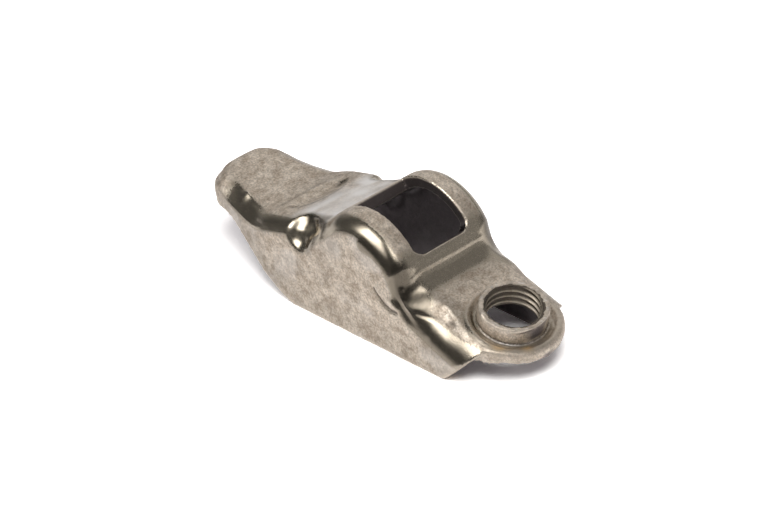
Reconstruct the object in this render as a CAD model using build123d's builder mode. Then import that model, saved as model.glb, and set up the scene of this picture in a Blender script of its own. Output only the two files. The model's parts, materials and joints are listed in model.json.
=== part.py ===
"""Pressed-steel rocker arm: one sheet drawn into a channel, lying on the free edges of its walls.

Millimetres.  +X runs along the arm to the threaded end, +Y across it, +Z up.  The straight run of the
wall edges is the plane z = 0, and the deck round the threaded collar slopes down towards +X.  The arm is
drawn with the collar's axis crossing the deck over x = 0, and moved to the middle of its length at the end.
"""
import os
from math import radians, tan

from build123d import *

# ---- sheet and section ---------------------------------------------------------------------------
sheet = 1.8  # thickness of the steel
arm_width = 18.6  # over the side walls
bend_radius = 3.1  # outside radius where the web turns down into a wall

# ---- web, seen from the side, from the valve end to the deck -------------------------------------
tip_x = -59.2
tip_height = 15.5  # web at the valve end, before its edge is rounded
pad_sag = 0.9  # how far the valve pad bulges over its chord
valley_x = -44.5  # lowest line of the web, between pad and neck
valley_height = 12.3
valley_blend = 10.0
neck_height = 17.7  # where the neck would meet the axis plane of the hump
neck_blend = 5.0
hump_x = -20.8  # axis of the round pivot hump
hump_height = 9.9
hump_radius = 9.6
hump_foot_blend = 4.2
deck_height = 7.3  # deck at the axis of the collar
deck_tilt = 17.5  # degrees

# ---- plan ----------------------------------------------------------------------------------------
taper_x = -43.0  # the pad narrows from here to the valve end
taper_blend = 15.0
tip_width = 11.5
tip_corner = 4.2
shoulder_front = 2.4  # front edge of the shoulders beside the collar
shoulder_blend = 1.2  # from the slanted wall edge to the shoulder's front edge
flange_radius = 7.2
# outside radius of the bends beside the collar: (distance along the deck from the collar's axis, radius)
shoulder_bend = ((-8.6, bend_radius), (-6.2, 4.8), (4.0, 4.8))

# ---- free edge of the walls, seen from the side --------------------------------------------------
tip_rise = 8.6
tail_x = -52.0
tail_blend = 5.0
foot_back_x = -38.6  # the arm rests on the straight run from here
foot_back_blend = 8.0
foot_front_x = -5.2  # to here
foot_front_blend = 2.0

# ---- window over the pivot -----------------------------------------------------------------------
window_width = 9.7
window_back_angle = 124.0  # degrees round the hump's axis, up from +X
window_front_angle = 29.0
window_corner = 1.8

# ---- threaded collar -----------------------------------------------------------------------------
thread_radius = 4.0  # M8 x 1, nominal
collar_wall = 0.7
collar_height = 2.2  # above the deck
groove_radius = 5.1  # middle of the groove round the collar
groove_section = 1.0
groove_depth = 0.6
flange_edge_round = 0.8
bore_entry_round = 1.0  # where the sheet turns up into the collar

# ---- darts pressed round both bends, at the neck and at the foot of the hump ---------------------
neck_dart_x = -33.8
neck_dart_section = 2.9  # radius of the rounded tool
neck_dart_depth = 1.4
neck_dart_angles = (15.0, 55.0)  # degrees round the bend, from the wall towards the web
foot_dart_x = -10.4
foot_dart_top = 11.0  # height of the web there
foot_dart_section = 2.2
foot_dart_depth = 0.8
foot_dart_angles = (35.0, 62.0)

# ---- groove across the neck ----------------------------------------------------------------------
neck_groove_x = -39.6
neck_groove_length = 10.8
neck_groove_section = 0.8
neck_groove_depth = 0.45

# ---- place ---------------------------------------------------------------------------------------
collar_x = 26.27  # from the middle of the part's length to the collar

# ---- stock that is cut away later ----------------------------------------------------------------
stock_floor = -12.0
stock_front = 14.0
stock_top = 30.0

half_width = arm_width / 2
deck = Plane(origin=(0, 0, deck_height)).rotated((0, deck_tilt, 0))
deck_side = Plane(origin=deck.origin, x_dir=deck.x_dir, z_dir=(0, -1, 0))
collar_axis = Axis(deck.origin, deck.z_dir)
hump_axis = (hump_x, hump_height)


def deck_line(x):
    """Height of the deck over x, on the centre plane."""
    return deck_height - x * tan(radians(deck_tilt))


def neck_line(x):
    """Height of the neck over x, on the centre plane."""
    return valley_height + (x - valley_x) * (neck_height - valley_height) / (hump_x - valley_x)


def hump_corners(side):
    """Corners of a side view that lie on the hump's circle, from back to front."""
    axis = Vector(*hump_axis)
    on_circle = side.vertices().filter_by(lambda v: abs((Vector(v) - axis).length - hump_radius) < 1e-3)
    return on_circle.sort_by(Axis.X)


def dart_tool(x, top, section, depth, angles):
    """Rounded tool lying round the bend on the -Y side, under the web's height top at x."""
    bend_y, bend_z = -half_width + bend_radius, top - bend_radius
    bend = Plane(origin=(x, bend_y, bend_z), x_dir=(0, -1, 0), z_dir=(-1, 0, 0))
    with BuildPart() as tool:
        with BuildLine(bend) as path:
            CenterArc((0, 0), bend_radius - depth + section, angles[0], angles[1] - angles[0])
        with BuildSketch(Plane(origin=path.line @ 0, z_dir=path.line % 0)):
            Circle(section)
        sweep(path=path.line)
        with Locations(path.line @ 0, path.line @ 1):
            Sphere(section)
    return tool.part


def neck_dart(inset):
    """Tool for the dart at the neck; the inside of the sheet takes a bigger one, a sheet deeper."""
    return dart_tool(neck_dart_x, neck_line(neck_dart_x), neck_dart_section + inset, neck_dart_depth + inset,
                     neck_dart_angles)


def foot_dart(inset):
    """The same at the foot of the hump."""
    return dart_tool(foot_dart_x, foot_dart_top, foot_dart_section + inset, foot_dart_depth + inset,
                     foot_dart_angles)


def shoulder_tool(inset):
    """Waste outside the wider bend beside the collar, on the +Y side, faded in along the deck."""
    corner_y = half_width - inset
    with BuildPart() as tool:
        for along, radius in shoulder_bend:
            r = radius - inset
            station = Plane(origin=deck.origin + deck.x_dir * along, x_dir=(0, 1, 0), z_dir=deck.x_dir)
            with BuildSketch(station):
                with BuildLine():
                    bend = CenterArc((corner_y - r, -inset - r), r, 0, 90)
                    Polyline(bend @ 1, (corner_y - r, sheet), (corner_y + sheet, sheet),
                             (corner_y + sheet, -inset - r), bend @ 0)
                make_face()
        loft(ruled=True)
    return tool.part


def block(inset):
    """The channel as a solid, with its skin moved in by inset: no inset is the outside of the sheet."""
    front = stock_front + 2 * inset
    under_hump = hump_x + hump_radius / 2
    with BuildPart() as solid:
        with BuildSketch(Plane.XZ) as side:
            with BuildLine():
                back = Line((tip_x, stock_floor), (tip_x, tip_height))
                pad = SagittaArc(back @ 1, (valley_x, valley_height), -pad_sag)
                neck = Line(pad @ 1, (hump_x, neck_height))
                Polyline(neck @ 1, hump_axis, (under_hump, deck_line(under_hump)),
                         (front, deck_line(front)), (front, stock_floor), back @ 0)
            make_face()
            with Locations(hump_axis):
                Circle(hump_radius)
            fillet(side.vertices().sort_by_distance((valley_x, valley_height))[0], valley_blend)
            fillet(hump_corners(side)[0], neck_blend)
            fillet(hump_corners(side)[-1], hump_foot_blend)
            if inset:
                offset(amount=-inset)
        extrude(amount=arm_width, both=True)
        with BuildSketch(Plane.XY.offset(stock_floor)) as plan:
            with BuildLine():
                edge = Polyline((tip_x, 0), (tip_x, tip_width / 2), (taper_x, half_width),
                                (front, half_width), (front, 0))
                mirror(edge, about=Plane.XZ)
            make_face()
            fillet(plan.vertices().group_by(Axis.X)[0], tip_corner)
            fillet(plan.vertices().filter_by(lambda v: abs(v.X - taper_x) < 1e-3), taper_blend)
            if inset:
                offset(amount=-inset)
        extrude(amount=4 * half_width, mode=Mode.INTERSECT)
        walls = solid.faces().filter_by(lambda f: abs(f.normal_at().Z) < 1e-3 and f.center().X < front / 2)
        rims = walls.edges().filter_by(Axis.Z, reverse=True)
        rims = rims.filter_by(lambda e: e.center().Z > stock_floor + 1)
        rims = rims.filter_by(lambda e: e.center().X < front - 2 * inset - 0.1)
        fillet(rims, bend_radius - inset)
        for tool in (neck_dart(inset), foot_dart(inset), shoulder_tool(inset)):
            add(tool, mode=Mode.SUBTRACT)
            add(mirror(tool, about=Plane.XZ, mode=Mode.PRIVATE), mode=Mode.SUBTRACT)
    return solid.part


outer = block(0)
inner = block(sheet)

# stock in front of the slanted wall edges and the shoulders, back to the round flange
with BuildPart() as front_stock:
    with BuildSketch(Plane.XZ) as front:
        shoulder = (shoulder_front, deck_line(shoulder_front))
        behind = foot_front_x - 2 * foot_front_blend
        with BuildLine():
            Polyline((behind, 0), (foot_front_x, 0), shoulder, (shoulder_front, stock_top),
                     (2 * stock_front, stock_top), (2 * stock_front, stock_floor), (behind, stock_floor),
                     close=True)
        make_face()
        fillet(front.vertices().sort_by_distance((foot_front_x, 0))[0], foot_front_blend)
        fillet(front.vertices().sort_by_distance(shoulder)[0], shoulder_blend)
    extrude(amount=arm_width, both=True)
    with BuildSketch(deck_side) as flange:
        with BuildLine():
            side = Line((flange_radius, stock_floor), (flange_radius, -flange_edge_round))
            edge = RadiusArc(side @ 1, (flange_radius - flange_edge_round, 0), -flange_edge_round)
            Polyline(edge @ 1, (flange_radius - flange_edge_round, stock_front), (0, stock_front),
                     (0, stock_floor), side @ 0)
        make_face()
    revolve(axis=collar_axis, mode=Mode.SUBTRACT)

# the window's ends are square to the sheet, so they point at the hump's axis
with BuildPart() as stud_window:
    with BuildSketch(Plane.XZ):
        with BuildLine():
            front_end = PolarLine(hump_axis, 2 * hump_radius, window_front_angle)
            back_end = PolarLine(hump_axis, 2 * hump_radius, window_back_angle)
            Line(front_end @ 1, back_end @ 1)
        make_face()
    extrude(amount=window_width / 2, both=True)
    front_face = stud_window.faces().filter_by(lambda f: f.normal_at().Z < -0.5).sort_by(Axis.X)[-1]
    fillet(front_face.edges().filter_by(Axis.Y, reverse=True).filter_by(Plane.XZ), window_corner)

with BuildPart() as pressing:
    add(outer)
    add(inner, mode=Mode.SUBTRACT)

    # free edge of the walls
    with BuildSketch(Plane.XZ) as kept:
        with BuildLine():
            Polyline((tip_x - sheet, tip_rise), (tail_x, tip_rise), (foot_back_x, 0), (stock_front, 0),
                     (stock_front, stock_top), (tip_x - sheet, stock_top), close=True)
        make_face()
        fillet(kept.vertices().sort_by_distance((tail_x, tip_rise))[0], tail_blend)
        fillet(kept.vertices().sort_by_distance((foot_back_x, 0))[0], foot_back_blend)
    extrude(amount=arm_width, both=True, mode=Mode.INTERSECT)
    add(front_stock.part, mode=Mode.SUBTRACT)
    add(stud_window.part, mode=Mode.SUBTRACT)

    # groove across the neck
    reach = neck_groove_length / 2 - neck_groove_section
    groove_z = neck_line(neck_groove_x) + neck_groove_section - neck_groove_depth
    with Locations(Location((neck_groove_x, 0, groove_z), (90, 0, 0))):
        Cylinder(neck_groove_section, 2 * reach, mode=Mode.SUBTRACT)
    with Locations((neck_groove_x, -reach, groove_z), (neck_groove_x, reach, groove_z)):
        Sphere(neck_groove_section, mode=Mode.SUBTRACT)

    # collar, drawn up out of the deck
    with BuildSketch(deck_side) as collar:
        outside = thread_radius + collar_wall
        with BuildLine():
            Polyline((0, -sheet), (outside + 1, -sheet), (outside, -groove_depth), (outside, collar_height),
                     (0, collar_height), close=True)
        make_face()
    revolve(axis=collar_axis)
    with BuildSketch(deck_side) as groove:
        with Locations((groove_radius, groove_section - groove_depth)):
            Circle(groove_section)
        with BuildLine():
            Polyline((outside, -sheet), (stock_front, -sheet), (stock_front, stock_front),
                     (outside, stock_front), close=True)
        make_face(mode=Mode.INTERSECT)
    revolve(axis=collar_axis, mode=Mode.SUBTRACT)
    with BuildSketch(deck_side) as bore:
        underside = -sheet - groove_depth
        with BuildLine():
            wall = Line((thread_radius, collar_height + 1), (thread_radius, underside + bore_entry_round))
            entry = RadiusArc(wall @ 1, (thread_radius + bore_entry_round, underside), bore_entry_round)
            Polyline(entry @ 1, (thread_radius + bore_entry_round, 3 * underside), (0, 3 * underside),
                     (0, collar_height + 1), wall @ 0)
        make_face()
    revolve(axis=collar_axis, mode=Mode.SUBTRACT)

with BuildPart() as rocker_arm:
    with Locations((collar_x, 0, 0)):
        add(pressing.part)

rocker_arm.part.label = "rocker_arm"
os.makedirs("parts", exist_ok=True)
export_step(rocker_arm.part, "parts/rocker_arm.step")
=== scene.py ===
"""Dresses the pressed-steel rocker arm: its drawn skin, its collar's thread and a small pale studio."""

import json
from math import pi

import bmesh
import bpy
import numpy as np
from bpy.props import FloatProperty, FloatVectorProperty, PointerProperty
from mathutils import Matrix, Vector


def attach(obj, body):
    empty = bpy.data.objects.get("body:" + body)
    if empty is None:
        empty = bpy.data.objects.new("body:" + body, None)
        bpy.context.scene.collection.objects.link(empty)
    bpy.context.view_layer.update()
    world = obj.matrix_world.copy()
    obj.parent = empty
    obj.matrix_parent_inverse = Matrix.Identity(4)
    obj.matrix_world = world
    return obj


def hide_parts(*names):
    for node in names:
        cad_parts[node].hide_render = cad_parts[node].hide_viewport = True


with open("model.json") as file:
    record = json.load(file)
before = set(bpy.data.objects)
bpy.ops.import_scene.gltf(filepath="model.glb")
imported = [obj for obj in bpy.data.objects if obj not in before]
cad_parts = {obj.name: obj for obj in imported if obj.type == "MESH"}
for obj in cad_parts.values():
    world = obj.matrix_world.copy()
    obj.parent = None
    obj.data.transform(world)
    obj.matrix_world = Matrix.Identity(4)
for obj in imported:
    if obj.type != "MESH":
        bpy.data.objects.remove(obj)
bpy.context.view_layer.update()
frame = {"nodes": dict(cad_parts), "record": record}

bl_info = {
    "name": "Pressed Rocker Arm",
    "version": (1, 0, 0),
    "blender": (4, 5, 0),
    "location": "View3D > Sidebar > Rocker Arm",
    "description": "Dresses a pressed-steel rocker arm and sets it in a small studio",
    "category": "Object",
}

MM = 0.001
MOUNT = frame["record"]["mounts"][0]
COLLAR = Vector(MOUNT["pos_m"])  # where the collar's axis meets the deck
COLLAR_AXIS = Vector(MOUNT["axis"]).normalized()


# ---- sizes and colours --------------------------------------------------------------------------
class ArmLooks(bpy.types.PropertyGroup):
    """Skin of the pressed sheet."""
    grid: FloatProperty(name="Skin grid", description="Spacing of the skin's mesh", default=0.000245,
                        subtype="DISTANCE", unit="LENGTH")
    steel: FloatVectorProperty(name="Steel", description="Colour of the tumbled sheet", subtype="COLOR",
                               default=(0.43, 0.36, 0.285), min=0, max=1)
    steel_pale: FloatVectorProperty(name="Pale steel", description="Colour of its paler patches",
                                    subtype="COLOR", default=(0.66, 0.585, 0.495), min=0, max=1)
    # Colour of the pale mark: a painted sheen on the neck and painted highlights at the collar, besides real
    # pale clouds on the walls.
    pale_and_sheen: FloatVectorProperty(name="Rubbed steel", description="Colour of the rubbed neck",
                                subtype="COLOR", default=(0.90, 0.88, 0.86), min=0, max=1)
    brassy: FloatVectorProperty(name="Brassy bends", description="Tint of the burnished bends",
                                subtype="COLOR", default=(0.47, 0.415, 0.33), min=0, max=1)
    # Painted warm reflection: a gold tint laid where the flange shows warm reflections.
    warm_reflection: FloatVectorProperty(name="Straw", description="Gold tint on the flange", subtype="COLOR",
                               default=(0.80, 0.55, 0.25), min=0, max=1)
    # Colour of the hollow mark: mostly painted shade in hollows and creases and a painted dark reflection
    # along the burnished band, with some real dark stain in broad clouds.
    shade_and_stain: FloatVectorProperty(name="Soot", description="Dark stain in the hollows", subtype="COLOR",
                              default=(0.055, 0.045, 0.035), min=0, max=1)
    # Painted shade: the dark colour laid on the channel's inside and on the window's cut faces, where shade
    # falls.
    inner: FloatVectorProperty(name="Inner skin", description="Dark film inside the channel",
                               subtype="COLOR", default=(0.10, 0.085, 0.095), min=0, max=1)
    matte: FloatProperty(name="Matte", description="Roughness of the tumbled sheet", default=0.46,
                         min=0, max=1)
    matte_metal: FloatProperty(name="Matte metal", description="How metallic the tumbled film looks",
                               default=0.8, min=0, max=1)
    polish: FloatProperty(name="Polish", description="Roughness of the burnished bends", default=0.23,
                          min=0, max=1)


class ThreadSizes(bpy.types.PropertyGroup):
    """Thread cut in the collar."""
    pitch: FloatProperty(name="Pitch", description="Distance between crests", default=0.001,
                         subtype="DISTANCE", unit="LENGTH")
    crest: FloatProperty(name="Crest radius", description="Radius of the crests", default=0.00372,
                         subtype="DISTANCE", unit="LENGTH")
    root: FloatProperty(name="Root radius", description="Radius of the roots", default=0.00398,
                        subtype="DISTANCE", unit="LENGTH")
    low: FloatProperty(name="Lower end", description="Lower end of the thread, along the collar",
                       default=-0.0014, subtype="DISTANCE", unit="LENGTH")
    high: FloatProperty(name="Upper end", description="Upper end of the thread, along the collar",
                        default=0.00216, subtype="DISTANCE", unit="LENGTH")


class StudioLooks(bpy.types.PropertyGroup):
    """Floor, lamps and the cloth tent round the table."""
    paper: FloatProperty(name="Paper", description="How white the floor shows to the camera", default=1.42)
    backdrop: FloatProperty(name="Backdrop", description="How bright the backdrop shows", default=1.0)
    room: FloatProperty(name="Room light", description="Strength of the light from all round", default=0.27)
    key: FloatProperty(name="Key light", description="Power of the lamp above", default=5.1,
                       subtype="POWER", unit="POWER")
    side: FloatProperty(name="Side light", description="Power of the lamp on the left", default=1.6,
                        subtype="POWER", unit="POWER")
    tent_radius: FloatProperty(name="Tent radius", description="From the part to the cloth tent",
                               default=1.2, subtype="DISTANCE", unit="LENGTH")
    tent_dark: FloatProperty(name="Dark cloth", description="Glow of the tent's dark side", default=0.08)
    tent_pale: FloatProperty(name="Pale cloth", description="Glow of the tent's pale side", default=0.7)
    window_side: FloatProperty(name="Side window", description="Glow of the tent's side window",
                               default=4.5)
    window_key: FloatProperty(name="Key window", description="Glow of the tent's upper window", default=3.0)


# ---- mesh helpers -------------------------------------------------------------------------------
def new_object(mesh):
    """Puts a finished mesh into the scene, at the origin."""
    obj = bpy.data.objects.new(mesh.name, mesh)
    bpy.context.scene.collection.objects.link(obj)
    return obj


def remove_loose_object(obj):
    """Deletes a working object and its mesh."""
    mesh = obj.data
    bpy.data.objects.remove(obj)
    bpy.data.meshes.remove(mesh)


def merged_copy(node, name):
    """Copies a CAD node's mesh and merges its doubled corners."""
    work = bmesh.new()
    work.from_mesh(frame["nodes"][node].data)
    bmesh.ops.remove_doubles(work, verts=work.verts, dist=1e-6)
    mesh = bpy.data.meshes.new(name)
    work.to_mesh(mesh)
    work.free()
    return mesh


def evenly_meshed(mesh, name, spacing):
    """Rebuilds a closed mesh on an even grid, so it can carry fine relief."""
    obj = new_object(mesh)
    grid = obj.modifiers.new("even_grid", "REMESH")
    grid.mode = "VOXEL"
    grid.voxel_size = spacing
    grid.adaptivity = 0.0
    solved = obj.evaluated_get(bpy.context.evaluated_depsgraph_get())
    even = bpy.data.meshes.new_from_object(solved)
    even.name = name
    even.materials.clear()
    remove_loose_object(obj)
    return even


def points_of(mesh):
    """The mesh's corners as an array."""
    flat = np.empty(3 * len(mesh.vertices))
    mesh.vertices.foreach_get("co", flat)
    return flat.reshape(-1, 3)


def set_points(mesh, points):
    """Moves the mesh's corners."""
    mesh.vertices.foreach_set("co", points.ravel())
    mesh.update()


def normals_of(mesh):
    """The mesh's corner normals as an array."""
    flat = np.empty(3 * len(mesh.vertices))
    mesh.vertex_normals.foreach_get("vector", flat)
    return flat.reshape(-1, 3)


def edges_of(mesh):
    """The mesh's edges as pairs of corner numbers."""
    flat = np.empty(2 * len(mesh.edges), dtype=np.int64)
    mesh.edges.foreach_get("vertices", flat)
    return flat.reshape(-1, 2)


def neighbour_mean(values, edges):
    """Each corner's value becomes the mean of its neighbours' values."""
    count = len(values)
    share = np.bincount(edges.ravel(), minlength=count).clip(1)
    columns = [np.bincount(edges[:, 0], weights=column[edges[:, 1]], minlength=count)
               + np.bincount(edges[:, 1], weights=column[edges[:, 0]], minlength=count)
               for column in values.reshape(count, -1).T]
    return (np.array(columns) / share).T.reshape(values.shape)


def smoothed(values, edges, rounds, pull=0.6):
    """Moves each value part of the way to its neighbours' mean, again and again."""
    for _ in range(rounds):
        values = values + pull * (neighbour_mean(values, edges) - values)
    return values


def relaxed(points, edges, rounds):
    """Takes the grid's steps out without shrinking: each pull inwards is followed by a push back out."""
    pull, push = 0.62, 0.64
    for _ in range(rounds):
        points = points + pull * (neighbour_mean(points, edges) - points)
        points = points - push * (neighbour_mean(points, edges) - points)
    return points


def softened(points, edges, weight, rounds, pull=0.6):
    """Smooths only where the weight is above 0, which shrinks sharp forms there."""
    for _ in range(rounds):
        points = points + pull * weight[:, None] * (neighbour_mean(points, edges) - points)
    return points


def spot_distance(points, spot):
    """Distance from each point to one spot."""
    return np.linalg.norm(points - spot, axis=1)


def line_distance(points, line):
    """Distance from each point to the nearest spot on a broken line."""
    ends = np.array(line, dtype=float)
    best = np.full(len(points), np.inf)
    for first, second in zip(ends[:-1], ends[1:]):
        along = second - first
        share = np.clip((points - first) @ along / (along @ along), 0, 1)
        best = np.minimum(best, np.linalg.norm(points - first - share[:, None] * along, axis=1))
    return best


def bell(distance, width):
    """1 at distance 0, falling off as a bell curve of the given width."""
    return np.exp(-(distance / width) ** 2)


def paint(mesh, name, values):
    """Keeps one number for each corner under a name that a material can read."""
    layer = mesh.attributes.new(name, "FLOAT", "POINT")
    layer.data.foreach_set("value", np.clip(values, 0, 1).astype(np.float32))


def grid_mesh(name, points, close_u, close_v):
    """Makes a mesh from a grid of points, one face to each cell, closed round either way."""
    rows, columns = points.shape[:2]
    number = np.arange(rows * columns).reshape(rows, columns)
    low = number if close_u else number[:-1]
    high = np.roll(number, -1, axis=0) if close_u else number[1:]
    if close_v:
        left, right = low, np.roll(low, -1, axis=1)
        up_left, up_right = high, np.roll(high, -1, axis=1)
    else:
        left, right = low[:, :-1], low[:, 1:]
        up_left, up_right = high[:, :-1], high[:, 1:]
    faces = np.stack([left, right, up_right, up_left], axis=-1).reshape(-1, 4)
    mesh = bpy.data.meshes.new(name)
    mesh.from_pydata(points.reshape(-1, 3), [], faces.tolist())
    mesh.polygons.foreach_set("use_smooth", np.ones(len(faces), dtype=bool))
    mesh.update()
    return mesh


def smooth_step(low, high, values):
    """Rises from 0 at low to 1 at high along an S."""
    t = np.clip((values - low) / (high - low), 0, 1)
    return t * t * (3 - 2 * t)


def fade(low, high, values):
    """Falls from 1 at low to 0 at high along an S."""
    return 1 - smooth_step(low, high, values)


def lattice_noise(points, size, seed):
    """Soft noise from -1 to 1: random numbers on a lattice of the given size, blended with an S between."""
    count = 32
    table = np.random.default_rng(seed).uniform(-1, 1, (count, count, count))
    place = points / size
    cell = np.floor(place).astype(int)
    t = place - cell
    t = t * t * (3 - 2 * t)
    total = np.zeros(len(points))
    for corner in range(8):
        step = np.array([corner & 1, corner >> 1 & 1, corner >> 2 & 1])
        index = (cell + step) % count
        share = np.prod(np.where(step, t, 1 - t), axis=1)
        total += share * table[index[:, 0], index[:, 1], index[:, 2]]
    return total


def collar_directions():
    """The collar's axis and, square to it, the direction forward along the arm."""
    axis = np.array(COLLAR_AXIS)
    return axis, np.array([axis[2], 0, -axis[0]])


def collar_frame(points):
    """Splits points into height along the collar's axis, distance from it, and angle round it."""
    axis, forward = collar_directions()
    offset = points - np.array(COLLAR)
    height = offset @ axis
    flat = offset - height[:, None] * axis
    return height, np.linalg.norm(flat, axis=1), np.arctan2(flat[:, 1], flat @ forward)


# ---- materials ----------------------------------------------------------------------------------
def new_group(name, inputs, outputs):
    """Starts a shader node group with named sockets, each given as (name, kind, default)."""
    group = bpy.data.node_groups.new(name, "ShaderNodeTree")
    for label, kind, default in inputs:
        socket = group.interface.new_socket(label, in_out="INPUT", socket_type=kind)
        if default is not None:
            socket.default_value = default
    for label, kind in outputs:
        group.interface.new_socket(label, in_out="OUTPUT", socket_type=kind)
    return group, group.nodes.new("NodeGroupInput"), group.nodes.new("NodeGroupOutput")


def add_node(tree, kind, **settings):
    """Adds a node, with settings for its own properties."""
    node = tree.nodes.new(kind)
    for key, value in settings.items():
        setattr(node, key, value)
    return node


def mix_colour(tree, factor, first, second, blend="MIX"):
    """Mixes two colours; each may be a socket or a plain colour."""
    node = add_node(tree, "ShaderNodeMix", data_type="RGBA", blend_type=blend)
    for socket, value in ((node.inputs[0], factor), (node.inputs[6], first), (node.inputs[7], second)):
        if isinstance(value, bpy.types.NodeSocket):
            tree.links.new(value, socket)
        else:
            socket.default_value = value
    return node.outputs[2]


def ranged(tree, value, low, high, to_low, to_high):
    """Maps a socket's range onto another."""
    node = add_node(tree, "ShaderNodeMapRange", interpolation_type="SMOOTHSTEP")
    tree.links.new(value, node.inputs[0])
    for socket, number in zip(list(node.inputs)[1:5], (low, high, to_low, to_high)):
        socket.default_value = number
    return node.outputs[0]


def math_node(tree, operation, first, second):
    """One arithmetic step; each side may be a socket or a number."""
    node = add_node(tree, "ShaderNodeMath", operation=operation)
    for socket, value in ((node.inputs[0], first), (node.inputs[1], second)):
        if isinstance(value, bpy.types.NodeSocket):
            tree.links.new(value, socket)
        else:
            socket.default_value = value
    return node.outputs[0]


def tumbled_grain_group():
    """Mottle and fine pitting of steel tumbled with stones: a broad mask, a fine mask and a height."""
    group, given, result = new_group(
        "tumbled_grain",
        [("Mottle Scale", "NodeSocketFloat", 620.0), ("Grain Scale", "NodeSocketFloat", 3300.0)],
        [("Mottle", "NodeSocketFloat"), ("Grain", "NodeSocketFloat"), ("Height", "NodeSocketFloat")])
    place = add_node(group, "ShaderNodeTexCoord").outputs["Object"]
    noises = {}
    for label, detail, roughness in (("Mottle", 6.0, 0.68), ("Grain", 4.0, 0.7)):
        node = add_node(group, "ShaderNodeTexNoise")
        node.inputs["Detail"].default_value = detail
        node.inputs["Roughness"].default_value = roughness
        group.links.new(place, node.inputs["Vector"])
        group.links.new(given.outputs[label + " Scale"], node.inputs["Scale"])
        noises[label] = node.outputs["Fac"]
    mottle_share = 1.4
    height = math_node(group, "ADD", noises["Grain"],
                       math_node(group, "MULTIPLY", noises["Mottle"], mottle_share))
    group.links.new(ranged(group, noises["Mottle"], 0.33, 0.67, 0.0, 1.0), result.inputs["Mottle"])
    group.links.new(ranged(group, noises["Grain"], 0.3, 0.7, 0.0, 1.0), result.inputs["Grain"])
    group.links.new(height, result.inputs["Height"])
    return group


# How strongly each painted mark tints the steel. The pale mark carries painted sheen and highlights, and the
# inside and hollow marks carry painted shade.
TINT_SHARES = {"pale": 0.95, "inside": 0.94, "hollow": 0.8, "edge": 0.4}
RAGGED_BORDER = 0.28  # how far the grain breaks up the border of a polished place
MATTE_SPREAD = 0.05  # roughness gained and lost with the mottle
GRAIN_BUMP = 0.4
GRAIN_DEPTH = 0.00008
POLISHED_GRAIN = 0.25  # share of the grain's height left on polished places


def steel_material(looks, name, grain_group):
    """Tumbled sheet steel: mottled and matte, brassy and polished where it was bent, dark with painted shade
    in its hollows and inside, and pale with painted sheen and highlights in places.
    """
    material = bpy.data.materials.new(name)
    material.use_nodes = True
    tree = material.node_tree
    shader = tree.nodes["Principled BSDF"]
    grain = add_node(tree, "ShaderNodeGroup", node_tree=grain_group)
    marks = {label: add_node(tree, "ShaderNodeAttribute", attribute_name=label).outputs["Fac"]
             for label in ("bend", "hollow", "inside", "edge", "pale", "warm_reflection")}
    tints = {label: math_node(tree, "MULTIPLY", marks[label], share) for label, share in TINT_SHARES.items()}
    # the border of a polished place is broken up by the grain
    uneven = math_node(tree, "SUBTRACT", grain.outputs["Grain"], 0.5)
    ragged = math_node(tree, "MULTIPLY_ADD", uneven, RAGGED_BORDER)
    tree.links.new(marks["bend"], ragged.node.inputs[2])
    polished = ranged(tree, ragged, 0.1, 0.9, 0.0, 1.0)
    skin = mix_colour(tree, grain.outputs["Mottle"], (*looks.steel, 1), (*looks.steel_pale, 1))
    speckle = ranged(tree, grain.outputs["Grain"], 0.0, 1.0, 0.72, 1.2)
    skin = mix_colour(tree, 1.0, skin, speckle, "MULTIPLY")
    # the pale layer lays painted sheen and highlights, the gold layer a painted warm reflection, and the
    # inside and hollow layers painted shade
    layers = ((tints["pale"], looks.pale_and_sheen), (polished, looks.brassy), (marks["warm_reflection"], looks.warm_reflection),
              (tints["inside"], looks.inner), (tints["hollow"], looks.shade_and_stain),
              (tints["edge"], looks.steel_pale))
    for factor, colour in layers:
        skin = mix_colour(tree, factor, skin, (*colour, 1))
    tree.links.new(skin, shader.inputs["Base Color"])
    matte = ranged(tree, grain.outputs["Mottle"], 0.0, 1.0,
                   looks.matte + MATTE_SPREAD, looks.matte - MATTE_SPREAD)
    for socket, dull, bright in (("Roughness", matte, looks.polish), ("Metallic", looks.matte_metal, 1.0)):
        blend = add_node(tree, "ShaderNodeMix", data_type="FLOAT")
        tree.links.new(polished, blend.inputs[0])
        if isinstance(dull, bpy.types.NodeSocket):
            tree.links.new(dull, blend.inputs[2])
        else:
            blend.inputs[2].default_value = dull
        blend.inputs[3].default_value = bright
        tree.links.new(blend.outputs[0], shader.inputs[socket])
    bump = add_node(tree, "ShaderNodeBump")
    bump.inputs["Strength"].default_value = GRAIN_BUMP
    bump.inputs["Distance"].default_value = GRAIN_DEPTH
    kept = ranged(tree, polished, 0.0, 1.0, 1.0, POLISHED_GRAIN)
    height = math_node(tree, "MULTIPLY", grain.outputs["Height"], kept)
    tree.links.new(height, bump.inputs["Height"])
    tree.links.new(bump.outputs["Normal"], shader.inputs["Normal"])
    return material


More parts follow.
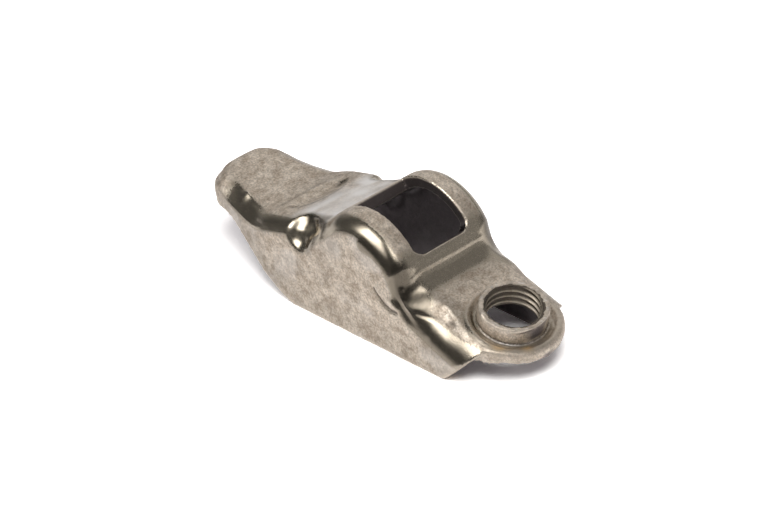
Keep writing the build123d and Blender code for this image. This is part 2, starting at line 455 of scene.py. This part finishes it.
# ---- the pressed skin ---------------------------------------------------------------------------
# Places on the skin, in millimetres from the collar's axis: along the arm, across it, and up.
NECK_DART = (-33.6, 8.2, 13.0)
NECK_BOWL = (-31.0, 7.9, 13.9)
FOOT_POCKET = (-10.6, 8.0, 9.6)
POCKET_RIM = ((-12.5, 8.3, 11.2), (-12.2, 8.8, 10.0), (-11.8, 8.9, 9.1), (-10.8, 9.2, 8.4),
              (-9.9, 9.2, 8.1), (-8.8, 8.9, 8.3))
TUCK_CREASE = ((-17.4, -9.3, 10.1), (-16.8, -9.3, 9.0), (-15.8, -9.3, 8.1), (-14.6, -9.3, 7.6),
               (-13.4, -9.3, 7.6))
TUCK_LIP = ((-16.8, -9.3, 10.2), (-15.4, -9.3, 9.5), (-14.1, -9.3, 8.9), (-13.2, -9.3, 8.4))
FRONT_CREASE = ((-12.0, -6.9, 12.3), (-11.75, -5.2, 13.1), (-11.7, 5.2, 13.0), (-11.7, 6.8, 12.8))
TIP_KNUCKLE = (-49.8, -5.3, 12.5)
BURNISHED_BAND = ((-18.5, 9.0, 16.6), (-16.4, 8.8, 16.3), (-14.4, 8.8, 15.1), (-13.5, 8.8, 13.6),
                  (-13.2, 8.9, 12.1), (-13.0, 9.0, 11.0), (-12.6, 9.1, 9.7), (-11.6, 9.3, 8.3),
                  (-10.5, 9.3, 7.3), (-9.1, 9.2, 6.3), (-7.4, 9.1, 5.5), (-5.5, 9.1, 5.0),
                  (-3.6, 9.1, 4.5), (-1.5, 9.0, 4.0))
DARK_FOOT = ((-12.8, 8.2, 14.2), (-12.5, 8.0, 13.0), (-12.5, 8.1, 11.9), (-12.3, 8.5, 10.6))
SHOULDER_CREASE = ((-10.2, -8.3, 8.3), (-9.3, -7.9, 8.1), (-7.7, -7.3, 7.9), (-6.1, -6.9, 7.8),
                   (-4.4, -6.4, 7.6))
DART_CREASE = ((-29.6, 6.4, 15.5), (-29.4, 7.8, 14.9), (-30.2, 8.8, 13.4), (-31.8, 9.1, 11.2))
DISH_LIP = ((-40.0, -4.8, 13.1), (-38.3, -4.6, 13.7), (-37.3, -3.5, 13.9), (-37.0, -1.9, 14.0),
            (-36.8, -0.2, 14.05), (-37.2, 2.0, 14.0), (-38.1, 3.8, 13.8), (-39.5, 5.1, 13.3))
DISH_UPPER = ((-42.6, -5.4, 12.7), (-42.4, -3.3, 12.8), (-42.6, -1.3, 12.7), (-42.6, 0.6, 12.7),
              (-42.6, 2.5, 12.7), (-42.4, 4.2, 12.8), (-41.6, 5.5, 13.0))
DISH_FOLD = ((-40.1, -4.0, 13.2), (-40.2, -1.3, 13.2), (-40.1, 0.5, 13.2), (-40.1, 2.3, 13.1),
             (-40.0, 3.8, 13.1))
DART_MOUTH = ((-34.0, 6.3, 14.2), (-32.0, 6.5, 14.9), (-30.6, 6.8, 15.4), (-29.2, 7.6, 15.3))
WALL_DENTS = ((-34.7, -9.3, 8.2), (-24.4, -9.3, 7.0), (-32.2, -9.3, 10.1), (-27.0, -9.3, 9.6))
TOE = (2.6, 9.3, 0.3)
# Seen from the side: along the arm, and up.
FREE_EDGE = ((-52.0, 8.6), (-43.0, 3.0), (-38.6, 0.8), (-34.0, 0.0), (-3.0, 0.0))
SHOULDER_SHINE = ((-9.9, 7.7), (-8.6, 6.8), (-7.7, 6.5), (-5.8, 5.9), (-3.5, 5.5), (-1.0, 5.2), (0.4, 5.0))
HUMP_AXIS = (-20.8, 9.9)
# Seen from above: along the arm, and across it.
FAR_PIT = (-39.4, 3.9)
DISH_MIDDLE = -39.6  # along the arm
CHANNEL_LINE = 3.0  # height of the line down the middle of the channel
# Relief along lines: the line, whether both sides of the arm carry it, its height and its width.
LINE_RELIEF = (
    (POCKET_RIM, True, 0.08, 0.3),
    (TUCK_CREASE, False, -0.26, 0.34),
    (TUCK_LIP, False, 0.20, 0.6),
    (SHOULDER_CREASE, False, -0.08, 0.3),
    (FRONT_CREASE, False, 0.07, 0.24),
)
# Folds across the dish: the line, its depth and its width.
DISH_RELIEF = ((DISH_UPPER, 0.10, 0.5), (DISH_FOLD, 0.16, 0.45))


def from_collar(points):
    """Turns points in metres into millimetres from the collar's axis."""
    return (points - [COLLAR.x, 0, 0]) / MM


def skin_side(place, normals):
    """How far each spot faces away from a line down the middle of the channel: 1 outside, -1 inside."""
    away = np.stack([0 * place[:, 0], place[:, 1], place[:, 2] - CHANNEL_LINE], axis=1)
    away /= np.linalg.norm(away, axis=1)[:, None]
    return np.einsum("ij,ij->i", away, normals)


def folded(place):
    """Folds both sides of the arm onto one, so that a pair of marks is placed once."""
    return np.stack([place[:, 0], np.abs(place[:, 1]), place[:, 2]], axis=1)


class Skin:
    """Where each corner of the skin lies, in millimetres from the collar's axis, and how it faces."""

    def __init__(self, points, normals):
        self.place = from_collar(points)
        self.folded = folded(self.place)
        self.side = self.place[:, [0, 2]]
        self.x, self.y, self.z = self.place.T
        self.wide = np.abs(self.y)
        self.normals = normals
        self.forward = normals[:, 0]
        self.sideways = np.abs(normals[:, 1])
        self.upward = normals[:, 2]
        self.facing = skin_side(self.place, normals)
        self.outer = smooth_step(0.0, 0.35, self.facing)
        rise, radius, self.around = collar_frame(points)
        self.rise = rise / MM
        self.radius = radius / MM

    def rim_distance(self):
        """Distance from the pocket's rim, seen from the side."""
        return line_distance(self.side, np.array(POCKET_RIM)[:, [0, 2]])

    def pit_distance(self, along, across):
        """Distance from the middle of the dish's far pit, as a share of its reach along and across."""
        return np.hypot((self.x - FAR_PIT[0]) / along, (self.y - FAR_PIT[1]) / across)

    def collar_rim(self, reach):
        """Rises to 1 on the collar's rim, out to the given radius."""
        return smooth_step(1.6, 2.0, self.rise) * (self.radius < reach)


def pad_edge(x):
    """Half the pad's width at each place along the arm: it narrows in a straight line towards the tip."""
    half_width, taper, start = 9.3, 0.219, -43
    return half_width - taper * np.clip(start - x, 0, None)


def soften_presswork(points, edges):
    """Rounds the darts, the pocket, the neck's groove, the toe and the flange, as a press leaves them."""
    place = from_collar(points)
    pair = folded(place)
    neck = fade(3.0, 4.8, spot_distance(pair, NECK_DART))
    foot = fade(3.4, 5.0, spot_distance(pair, FOOT_POCKET))
    groove = fade(0.9, 1.6, np.abs(place[:, 0] - DISH_MIDDLE)) * fade(6.2, 7.4, pair[:, 1])
    toe = fade(1.2, 3.0, spot_distance(pair, TOE))
    points = softened(points, edges, neck, rounds=14)
    points = softened(points, edges, foot, rounds=100)
    points = softened(points, edges, groove * (place[:, 2] > 11), rounds=50)
    points = softened(points, edges, toe, rounds=30)
    rise, radius, _ = collar_frame(points)
    flange = smooth_step(6.4, 6.9, radius / MM) * (place[:, 0] > 0) * (pair[:, 1] < 7.5)
    rim = (radius < 5.4 * MM) * (rise > 1.4 * MM)
    return softened(points, edges, np.maximum(flange, 0.2 * rim), rounds=5)


def lean_shoulder(points):
    """Leans the near shoulder's wall in towards the deck, by its height above the foot, up to a limit."""
    lean, foot, tallest = 0.24, 3.0, 5.5
    x, y, z = from_collar(points).T
    reach = smooth_step(-12.0, -8.0, x) * smooth_step(4.2, 8.0, -y) * smooth_step(6.0, 10.0, np.hypot(x, y))
    shift = lean * np.clip(z - foot, 0, tallest) * reach
    moved = points.copy()
    moved[:, 1] += shift * MM
    return moved


def wall_relief(skin):
    """Height of the marks on the walls and bends.

    Each crease, lip and dent is a bell curve on the distance from its line or spot. The bowl at the neck is
    an ellipsoid whose depth fades out along an S. The wall falls in towards the pocket's rim.
    """
    bowl = np.sqrt((((skin.folded - NECK_BOWL) / (3.0, 2.6, 2.7)) ** 2).sum(axis=1))
    height = -0.85 * fade(0.0, 1.0, bowl)
    for line, both_sides, rise, width in LINE_RELIEF:
        height += rise * bell(line_distance(skin.folded if both_sides else skin.place, line), width)
    for dent in WALL_DENTS:
        height -= 0.10 * bell(spot_distance(skin.place, dent), 0.5)
    wall = smooth_step(8.6, 9.1, skin.wide) * smooth_step(0.8, 0.95, skin.sideways)
    return height - 0.32 * fade(0.0, 2.2, skin.rim_distance()) * wall


def dish_relief(skin):
    """Height of the dish across the neck, on what faces up.

    The dish is an ellipse that reaches further ahead of its middle than behind it, with a deeper pit at its
    far end. Two folds run across it, each a bell curve on the distance from its line.
    """
    ahead = skin.x - DISH_MIDDLE
    dish = np.sqrt(np.where(ahead > 0, ahead / 2.7, ahead / 2.2) ** 2 + (skin.y / 5.3) ** 2)
    height = -0.22 * fade(0.72, 1.0, dish) - 0.16 * fade(0.3, 1.0, skin.pit_distance(1.3, 1.7))
    for line, depth, width in DISH_RELIEF:
        height -= depth * bell(line_distance(skin.place, line), width)
    return height * smooth_step(0.6, 0.85, skin.upward)


def pad_relief(skin):
    """Height lost towards the pad's edges, as the square of the way out, and the knuckle beside its tip."""
    fall = np.clip((skin.wide - pad_edge(skin.x) + 5.6) / 3.6, 0, 1)
    height = -0.35 * fall ** 2 * fade(-46, -41, skin.x) * smooth_step(0.3, 0.6, skin.upward)
    return height + 0.40 * bell(spot_distance(skin.place, TIP_KNUCKLE), 1.2)


def collar_relief(skin):
    """Height on and round the collar.

    Its wall swells at the foot. A bell curve on the radius fills the front of the groove round it, and a
    lower one makes the ring outside. Its rim is rough with fine noise.
    """
    low = skin.rise < 1.0
    wall = smooth_step(4.3, 4.6, skin.radius) * fade(5.0, 5.6, skin.radius)
    wall *= smooth_step(-0.3, 0.3, skin.rise)
    height = 0.22 * wall * smooth_step(0.2, 0.8, np.hypot(skin.forward, skin.sideways))
    front = smooth_step(-2.0, -1.4, skin.around) * fade(0.5, 1.1, skin.around)
    height += 0.30 * bell(skin.radius - 5.45, 0.42) * front * low * smooth_step(0.3, 0.6, skin.upward)
    height += 0.06 * bell(skin.radius - 6.15, 0.28) * low * smooth_step(0.5, 0.8, skin.upward)
    return height + 0.06 * skin.collar_rim(5.6) * lattice_noise(skin.place, 0.5, 9)


def presswork_relief(skin):
    """Height of the presswork above the skin's outside, in millimetres, with a faint waviness all over."""
    height = wall_relief(skin) + dish_relief(skin) + pad_relief(skin) + collar_relief(skin)
    height += 0.03 * lattice_noise(skin.place, 4.5, 7) + 0.012 * lattice_noise(skin.place, 1.3, 8)
    return height * skin.outer


def window_cut(skin):
    """1 on the window's cut faces, but for a thin line along their outer edge: these faces are painted dark
    as shade.

    A cut face lies about the hump's axis, and faces neither towards the axis nor away from it.
    """
    radial = np.stack([skin.x - HUMP_AXIS[0], 0 * skin.x, skin.z - HUMP_AXIS[1]], axis=1)
    out = np.linalg.norm(radial, axis=1)
    upright = np.abs(np.einsum("ij,ij->i", radial, skin.normals) / out)
    cut = fade(0.35, 0.6, upright) * smooth_step(6.6, 7.2, out) * fade(9.2, 9.5, out)
    return cut * (skin.wide < 5.6) * (skin.z > 11)


def burnished_band(skin):
    """Polish in a band down the front of the hump's walls and along the shoulders."""
    to_band = line_distance(skin.side, np.array(BURNISHED_BAND)[:, [0, 2]])
    return fade(0.6, 1.7, to_band) * smooth_step(0.4, 0.7, skin.sideways)


def burnished_ring(skin):
    """Polish in the groove round the collar: full behind it on the near side, and half elsewhere."""
    ring = smooth_step(4.75, 5.0, skin.radius) * fade(6.5, 6.9, skin.radius)
    ring *= smooth_step(-6.5, -3.0, skin.x) * smooth_step(0.3, 0.6, skin.upward)
    return ring * (1 - 0.5 * smooth_step(-2.2, -1.6, skin.around))


def burnished_bends(skin):
    """Polish where the sheet turns down into a wall.

    There is none at the pad's tip or close to the collar, and on the shoulders only along their shine line.
    """
    start = 0.26 + 0.2 * smooth_step(-11, -8, skin.x)
    turned = smooth_step(-56.5, -51.0, skin.x) * smooth_step(0, 0.25, skin.sideways - start)
    turned *= fade(0.90, 0.99, skin.sideways) * smooth_step(0.06, 0.3, skin.upward)
    to_shine = line_distance(skin.side, SHOULDER_SHINE)
    turned *= 1 - smooth_step(-10.5, -9.0, skin.x) * smooth_step(0.8, 2.0, to_shine)
    return turned * (1 - smooth_step(-2.5, 2.0, skin.x) * fade(6.4, 6.8, skin.radius))


def burnished(skin, band, ring):
    """Polish of the whole skin: the strongest at each spot of bends, hump's front, darts, ring and band."""
    front = smooth_step(-14.5, -12.5, skin.x) * fade(-9.5, -6.0, skin.x)
    front *= smooth_step(0.3, 0.6, skin.forward)
    dart = 0.62 * fade(2.6, 3.8, spot_distance(skin.folded, NECK_DART))
    pocket = 0.8 * fade(2.0, 3.6, spot_distance(skin.folded, FOOT_POCKET))
    return np.maximum.reduce([burnished_bends(skin), 0.75 * front, dart, pocket, ring, band])


def warm_reflection_tint(skin):
    """Gold tint in two short stretches of the ring round the collar, painted where it shows warm
    reflections.
    """
    stretches = np.maximum(bell(skin.around + 1.05, 0.16), bell(skin.around + 0.42, 0.12))
    return stretches * bell(skin.radius - 6.1, 0.45)


def shaded_and_stained(skin, band, ring):
    """Painted shade and dark stain: the strongest at each spot of those in the low places, each fading out
    from its line.
    """
    to_rim = skin.rim_distance()
    near_deck = smooth_step(-10, -8, skin.x) * fade(-3, -1, skin.x) * fade(-4.5, -3.0, skin.y)
    return np.maximum.reduce([
        # painted shade on the walls: round the pocket and up from the free edge towards the floor
        0.55 * fade(0.6, 2.2, to_rim) * smooth_step(0.6, 0.9, skin.sideways) * (skin.wide > 8),
        0.7 * fade(0.3, 1.2, to_rim) * smooth_step(0.3, 0.5, skin.sideways),
        0.32 * fade(0.5, 8.0, line_distance(skin.side, FREE_EDGE)) * smooth_step(0.8, 0.95, skin.sideways),
        # a painted dark reflection along the burnished band, and painted shade in the groove behind the
        # collar
        0.7 * band,
        0.55 * ring * fade(-2.2, -1.6, skin.around),
        # painted shade in the darts and creases
        0.95 * fade(0.7, 2.1, line_distance(skin.folded, DARK_FOOT)),
        0.6 * fade(0.3, 1.3, line_distance(skin.folded, DART_CREASE)),
        0.7 * fade(0.4, 1.4, line_distance(skin.folded, DART_MOUTH)),
        0.7 * bell(line_distance(skin.place, SHOULDER_CREASE), 0.35),
        # on the deck and the flange
        0.3 * smooth_step(-12.5, -11, skin.x) * fade(-9.5, -5.0, skin.x) * (skin.upward > 0.5),
        0.42 * near_deck * smooth_step(0.5, 0.8, skin.upward),
        0.2 * smooth_step(6.4, 6.9, skin.radius) * smooth_step(-3, -1, skin.x),
        # in broad clouds
        0.20 * smooth_step(-0.1, 0.7, lattice_noise(skin.place, 3.6, 13)),
    ])


def darkened(skin, bulge, band, ring):
    """How dark each spot is: the strongest of painted shade in hollows, the shade and stain marks, painted
    shade in the tuck's crease, in the dish's pit and along its lips and folds, and dark specks on the rim.
    """
    lips = np.maximum.reduce([
        bell(line_distance(skin.place, DISH_LIP), 0.32),
        0.6 * bell(line_distance(skin.place, DISH_UPPER), 0.4),
        0.8 * bell(line_distance(skin.place, DISH_FOLD), 0.35),
    ])
    return np.maximum.reduce([
        # painted shade where the skin sits below its smoothed surroundings, less in the burnished ring
        smooth_step(0.03, 0.12, -bulge) * (1 - 0.8 * (ring > 0.1)),
        shaded_and_stained(skin, band, ring),
        bell(line_distance(skin.place, TUCK_CREASE), 0.25),
        0.5 * fade(0.6, 1.1, skin.pit_distance(1.1, 1.5)) * (skin.upward > 0.5),
        0.65 * lips,
        0.55 * skin.collar_rim(5.2) * smooth_step(0.0, 0.5, lattice_noise(skin.place, 0.45, 12)),
    ])


def paled(skin):
    """How pale each spot is: a painted sheen on the neck, painted highlights in a crescent and in glints at
    the collar, and real pale clouds on the walls.
    """
    # painted sheen on the top of the neck, broken up by noise
    neck = smooth_step(-38.5, -34.5, skin.x) * fade(-28.5, -25.0, skin.x)
    neck *= smooth_step(0.75, 0.95, skin.upward)
    neck *= np.clip(0.75 + 0.5 * lattice_noise(skin.place, 1.6, 10), 0, 1)
    # painted highlight in a crescent at the collar's foot
    crescent_highlight = 0.9 * bell(skin.radius - 5.0, 0.3) * bell(skin.around + 0.9, 0.6)
    crescent_highlight *= (skin.upward > 0.2) * (skin.rise < 0)
    glints = skin.collar_rim(5.2) * bell(skin.radius - 4.5, 0.16)
    glints *= smooth_step(0.15, 0.45, lattice_noise(skin.place, 0.4, 11))
    clouds = 0.22 * smooth_step(0.0, 0.7, lattice_noise(skin.place, 2.8, 14))
    clouds *= smooth_step(0.8, 0.95, skin.sideways)
    return np.maximum.reduce([neck, glints, crescent_highlight, clouds])


def paint_skin(mesh, skin, bulge):
    """Paints the six marks that the steel reads. Only the outside is polished, tinted with gold for warm
    reflections, darkened with painted shade and stain, or lightened with painted sheen and highlights.
    """
    cut = window_cut(skin)
    band = burnished_band(skin)
    ring = burnished_ring(skin)
    paint(mesh, "bend", burnished(skin, band, ring) * skin.outer)
    # a gold tint painted for warm reflections on the flange
    paint(mesh, "warm_reflection", warm_reflection_tint(skin) * skin.outer)
    # painted shade in hollows and creases, a painted dark reflection along the band, real stain clouds, and
    # painted shade on the window's cut faces
    paint(mesh, "hollow", np.maximum(darkened(skin, bulge, band, ring) * skin.outer, 0.6 * cut))
    paint(mesh, "edge", smooth_step(0.03, 0.10, bulge) * (1 - cut))
    # painted shade on the channel's inside and on the window's cut faces
    paint(mesh, "inside", np.maximum(fade(-0.35, 0.0, skin.facing), cut))
    # painted sheen on the neck and painted highlights at the collar, with real pale clouds on the walls
    paint(mesh, "pale", paled(skin) * skin.outer)


class ROCKER_OT_pressing(bpy.types.Operator):
    """Make the pressed arm's skin"""
    bl_idname = "rocker.pressing"
    bl_label = "Pressed Arm"

    def execute(self, context):
        looks = context.scene.arm_looks
        mesh = evenly_meshed(merged_copy("rocker_arm", "arm_blank"), "pressed_arm", looks.grid)
        edges = edges_of(mesh)
        points = relaxed(points_of(mesh), edges, rounds=10)
        points = lean_shoulder(soften_presswork(points, edges))
        set_points(mesh, points)
        normals = smoothed(normals_of(mesh), edges, rounds=2)
        height = presswork_relief(Skin(points, normals))
        points = points + height[:, None] * MM * normals
        set_points(mesh, points)
        normals = smoothed(normals_of(mesh), edges, rounds=1)
        # how far each spot stands out of its smoothed surroundings
        bulge = np.einsum("ij,ij->i", points - smoothed(points, edges, rounds=12), normals) / MM
        paint_skin(mesh, Skin(points, normals), bulge)
        mesh.polygons.foreach_set("use_smooth", np.ones(len(mesh.polygons), dtype=bool))
        mesh.materials.append(steel_material(looks, "tumbled_steel", tumbled_grain_group()))
        arm = new_object(mesh)
        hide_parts("rocker_arm")
        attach(arm, "root")
        return {"FINISHED"}


# ---- the thread ---------------------------------------------------------------------------------
THREAD_START = 0.82  # where a crest starts, as a share of a turn
THREAD_SLEEVE = 0.0003  # how far the thread's ring reaches into the collar's wall
THREAD_RUN_OUT = 0.25  # length over which the thread dies out at each end, in pitches


class ROCKER_OT_thread(bpy.types.Operator):
    """Make the thread in the collar"""
    bl_idname = "rocker.thread"
    bl_label = "Collar Thread"

    def execute(self, context):
        sizes = context.scene.thread_sizes
        around, along = 200, 90
        angle = np.linspace(0, 2 * pi, around, endpoint=False)[:, None]
        height = np.linspace(sizes.low, sizes.high, along)[None, :]
        # the radius follows a wave of straight flanks, one pitch long, that climbs one pitch in each turn
        turn = (height / sizes.pitch - angle / (2 * pi) - THREAD_START) % 1.0
        wave = np.abs(2 * turn - 1)
        to_end = np.minimum(height - sizes.low, sizes.high - height) / (THREAD_RUN_OUT * sizes.pitch)
        depth = smooth_step(0.3, 1.0, wave) * smooth_step(0, 1, to_end)
        radius = sizes.root - (sizes.root - sizes.crest) * depth
        sleeve = np.full((around, 1), sizes.root + THREAD_SLEEVE)
        radius = np.concatenate([sleeve, radius, sleeve], axis=1)
        height = np.concatenate([[[sizes.low]], height, [[sizes.high]]], axis=1) + 0 * angle
        axis, forward = collar_directions()
        across = np.array([0, 1, 0])
        points = (np.array(COLLAR) + height[..., None] * axis
                  + (radius * np.cos(angle))[..., None] * forward
                  + (radius * np.sin(angle))[..., None] * across)
        mesh = grid_mesh("collar_thread", points, True, True)
        mesh.flip_normals()
        paint(mesh, "bend", np.full(len(mesh.vertices), 0.5))
        # painted shade in the thread's roots, fading out towards the crests
        crested = (sizes.root - radius.ravel()) / (sizes.root - sizes.crest)
        paint(mesh, "hollow", fade(0.45, 0.9, crested))
        for mark in ("inside", "edge", "pale", "warm_reflection"):
            paint(mesh, mark, np.zeros(len(mesh.vertices)))
        mesh.materials.append(bpy.data.materials["tumbled_steel"])
        thread = new_object(mesh)
        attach(thread, "root")
        return {"FINISHED"}


# ---- the studio ---------------------------------------------------------------------------------
# Glowing places on the tent: the angles round and up of the middle, the half widths, and the soft border.
PALE_LOBE = ((130, 45), (42, 40), 22)
FAR_LOBE = ((50, 30), (48, 40), 22)
SIDE_WINDOW = ((-104, 42), (27, 17), 4)
KEY_WINDOW = ((-32, 50), (12, 17), 4)
FAR_GLOW = 0.22
FLAG_GLOW = 0.1
FLAG_ENDS = (-0.11, 0.09)
FLAG_HEIGHTS = (0.0001, 0.03)
FLAG_ACROSS = -0.052
FLOOR_REACH = 4.0
FLOOR_WHITE = 0.9
ROOM_COLOUR = (1.0, 0.92, 0.95, 1)
AIM = Vector((0.0, 0.0, 0.01))
# The picture's right and backward directions, rolled a little, and the camera's place from the collar.
CAMERA_RIGHT = Vector((0.647901, 0.748345, -0.142141))
CAMERA_BACK = Vector((0.697206, -0.507447, 0.506361))
CAMERA_PLACE = (0.26768, -0.21335, 0.22005)
SENSOR_WIDTH = 36.0
FOCAL_PIXELS = 3000
PICTURE_PIXELS = 780


def tent_material():
    """Glowing cloth whose brightness is painted on it."""
    material = bpy.data.materials.new("tent_cloth")
    material.use_nodes = True
    tree = material.node_tree
    tree.nodes.clear()
    glow = add_node(tree, "ShaderNodeEmission")
    glow.inputs["Color"].default_value = (1.0, 0.985, 0.97, 1)
    painted = add_node(tree, "ShaderNodeAttribute", attribute_name="glow")
    tree.links.new(painted.outputs["Fac"], glow.inputs["Strength"])
    out = add_node(tree, "ShaderNodeOutputMaterial")
    tree.links.new(glow.outputs[0], out.inputs[0])
    return material


def window(around, up, middle, half, soft):
    """A lit window in the tent: 1 inside the half widths of its two angles, falling softly to 0 outside."""
    aside = np.abs((around - middle[0] + 180) % 360 - 180)
    over = np.abs(up - middle[1])
    return fade(half[0] - soft, half[0] + soft, aside) * fade(half[1] - soft, half[1] + soft, over)


def glow_with(mesh, values):
    """Paints how brightly the mesh glows."""
    layer = mesh.attributes.new("glow", "FLOAT", "POINT")
    layer.data.foreach_set("value", values.ravel().astype(np.float32))


def only_in_reflections(obj):
    """Hides an object from all but reflections."""
    obj.visible_camera = False
    obj.visible_diffuse = False
    obj.visible_shadow = False


def cloth_tent(looks):
    """Cloth tent round the table: the upper half of a ball, seen only in reflections.

    A point lies at the tent's radius, at an angle round and an angle up that run over the grid. To the
    camera, the cloth is dark, with a pale lobe behind the part, a weaker one on the right, a window on the
    left and a smaller one above the camera.
    """
    around = np.linspace(-180, 180, 180, endpoint=False)[:, None]
    up = np.linspace(0.2, 89.8, 60)[None, :]
    flat = looks.tent_radius * np.cos(np.radians(up))
    points = np.stack([flat * np.cos(np.radians(around)), flat * np.sin(np.radians(around)),
                       looks.tent_radius * np.sin(np.radians(up)) + 0 * around], axis=-1)
    mesh = grid_mesh("studio_tent", points, True, False)
    mesh.flip_normals()
    glow = (looks.tent_dark
            + (looks.tent_pale - looks.tent_dark) * window(around, up, *PALE_LOBE)
            + FAR_GLOW * window(around, up, *FAR_LOBE)
            + looks.window_side * window(around, up, *SIDE_WINDOW)
            + looks.window_key * window(around, up, *KEY_WINDOW))
    glow_with(mesh, glow)
    mesh.materials.append(tent_material())
    obj = new_object(mesh)
    only_in_reflections(obj)


def dark_flag():
    """Low dark flag that stands beside the part, seen only in reflections: a straight upright strip."""
    along = np.array(FLAG_ENDS)[:, None]
    up = np.array(FLAG_HEIGHTS)[None, :]
    nought = 0 * along * up
    points = np.stack([along + nought, FLAG_ACROSS + nought, up + nought], axis=-1)
    mesh = grid_mesh("studio_flag", points, False, False)
    glow_with(mesh, np.full(len(mesh.vertices), FLAG_GLOW))
    mesh.materials.append(bpy.data.materials["tent_cloth"])
    obj = new_object(mesh)
    only_in_reflections(obj)


def paper_floor(looks):
    """White paper floor, which shows brighter to the camera than it is to the light."""
    mesh = bpy.data.meshes.new("studio_floor")
    reach = FLOOR_REACH
    mesh.from_pydata([(-reach, -reach, 0), (reach, -reach, 0), (reach, reach, 0), (-reach, reach, 0)],
                     [], [(0, 1, 2, 3)])
    material = bpy.data.materials.new("studio_paper")
    material.use_nodes = True
    tree = material.node_tree
    shader = tree.nodes["Principled BSDF"]
    path = add_node(tree, "ShaderNodeLightPath")
    paper = mix_colour(tree, path.outputs["Is Camera Ray"], (FLOOR_WHITE, FLOOR_WHITE, FLOOR_WHITE, 1),
                       (looks.paper, looks.paper, looks.paper, 1))
    tree.links.new(paper, shader.inputs["Base Color"])
    shader.inputs["Roughness"].default_value = 0.9
    shader.inputs["Specular IOR Level"].default_value = 0.0
    mesh.materials.append(material)
    floor = new_object(mesh)


def room_light(scene, looks):
    """Even light from all round, which shows as a white backdrop to the camera and in reflections."""
    world = bpy.data.worlds.new("studio_room")
    scene.world = world
    world.use_nodes = True
    tree = world.node_tree
    tree.nodes.clear()
    path = add_node(tree, "ShaderNodeLightPath")
    seen = math_node(tree, "MAXIMUM", path.outputs["Is Camera Ray"], path.outputs["Is Glossy Ray"])
    seen = math_node(tree, "MAXIMUM", seen, path.outputs["Is Transmission Ray"])
    mix = add_node(tree, "ShaderNodeMixShader")
    tree.links.new(seen, mix.inputs[0])
    for number, colour, strength in ((1, ROOM_COLOUR, looks.room), (2, (1, 1, 1, 1), looks.backdrop)):
        light = add_node(tree, "ShaderNodeBackground")
        light.inputs["Color"].default_value = colour
        light.inputs["Strength"].default_value = strength
        tree.links.new(light.outputs[0], mix.inputs[number])
    out = add_node(tree, "ShaderNodeOutputWorld")
    tree.links.new(mix.outputs[0], out.inputs[0])


def soft_lamps(scene, looks):
    """Two round lamps that face the part: name, way to the lamp, distance, size, power and colour."""
    lamps = (("key", (0.50, -0.27, 0.82), 0.75, 0.34, looks.key, (1.0, 0.99, 0.97)),
             ("side", (-0.18, -0.73, 0.66), 0.7, 0.5, looks.side, (1.0, 1.0, 1.0)))
    for name, way, far, size, power, colour in lamps:
        lamp = bpy.data.lights.new(name, "AREA")
        lamp.shape = "DISK"
        lamp.size = size
        lamp.energy = power
        lamp.color = colour
        obj = bpy.data.objects.new(name, lamp)
        obj.visible_glossy = False
        scene.collection.objects.link(obj)
        spot = AIM + Vector(way).normalized() * far
        turn = (spot - AIM).to_track_quat("Z", "Y").to_matrix().to_4x4()
        obj.matrix_world = Matrix.Translation(spot) @ turn


def long_lens_camera(scene):
    """Camera with a long lens, turned so that its right, up and backward directions are square."""
    back = CAMERA_BACK.normalized()
    up = back.cross(CAMERA_RIGHT).normalized()
    right = up.cross(back)
    camera = bpy.data.cameras.new("camera")
    camera.sensor_width = SENSOR_WIDTH
    camera.lens = SENSOR_WIDTH * FOCAL_PIXELS / PICTURE_PIXELS
    camera.clip_start = 0.01
    obj = bpy.data.objects.new("camera", camera)
    scene.collection.objects.link(obj)
    place = Vector((COLLAR.x + CAMERA_PLACE[0], CAMERA_PLACE[1], CAMERA_PLACE[2]))
    turn = Matrix((right, up, back)).transposed().to_4x4()
    obj.matrix_world = Matrix.Translation(place) @ turn
    scene.camera = obj


class ROCKER_OT_studio(bpy.types.Operator):
    """Make the floor, the lamps and the camera"""
    bl_idname = "rocker.studio"
    bl_label = "Studio"

    def execute(self, context):
        scene = context.scene
        looks = scene.studio_looks
        paper_floor(looks)
        room_light(scene, looks)
        cloth_tent(looks)
        dark_flag()
        soft_lamps(scene, looks)
        long_lens_camera(scene)
        scene.view_settings.view_transform = "Standard"
        return {"FINISHED"}


class ROCKER_PT_panel(bpy.types.Panel):
    """Lists the pieces"""
    bl_label = "Rocker Arm"
    bl_idname = "ROCKER_PT_panel"
    bl_space_type = "VIEW_3D"
    bl_region_type = "UI"
    bl_category = "Rocker Arm"

    def draw(self, context):
        for operator, group in PANEL_ROWS:
            self.layout.operator(operator)
            settings = getattr(context.scene, group)
            for name in settings.__annotations__:
                self.layout.prop(settings, name)


SETTINGS = {"arm_looks": ArmLooks, "thread_sizes": ThreadSizes, "studio_looks": StudioLooks}
OPERATORS = (ROCKER_OT_pressing, ROCKER_OT_thread, ROCKER_OT_studio)
PANEL_ROWS = tuple(zip((operator.bl_idname for operator in OPERATORS), SETTINGS))


def register():
    for cls in (*SETTINGS.values(), *OPERATORS, ROCKER_PT_panel):
        bpy.utils.register_class(cls)
    for name, group in SETTINGS.items():
        setattr(bpy.types.Scene, name, PointerProperty(type=group))


def unregister():
    for name in SETTINGS:
        delattr(bpy.types.Scene, name)
    for cls in reversed((*SETTINGS.values(), *OPERATORS, ROCKER_PT_panel)):
        bpy.utils.unregister_class(cls)


def main():
    register()
    bpy.ops.rocker.pressing()
    bpy.ops.rocker.thread()
    bpy.ops.rocker.studio()


if __name__ == "__main__":
    main()
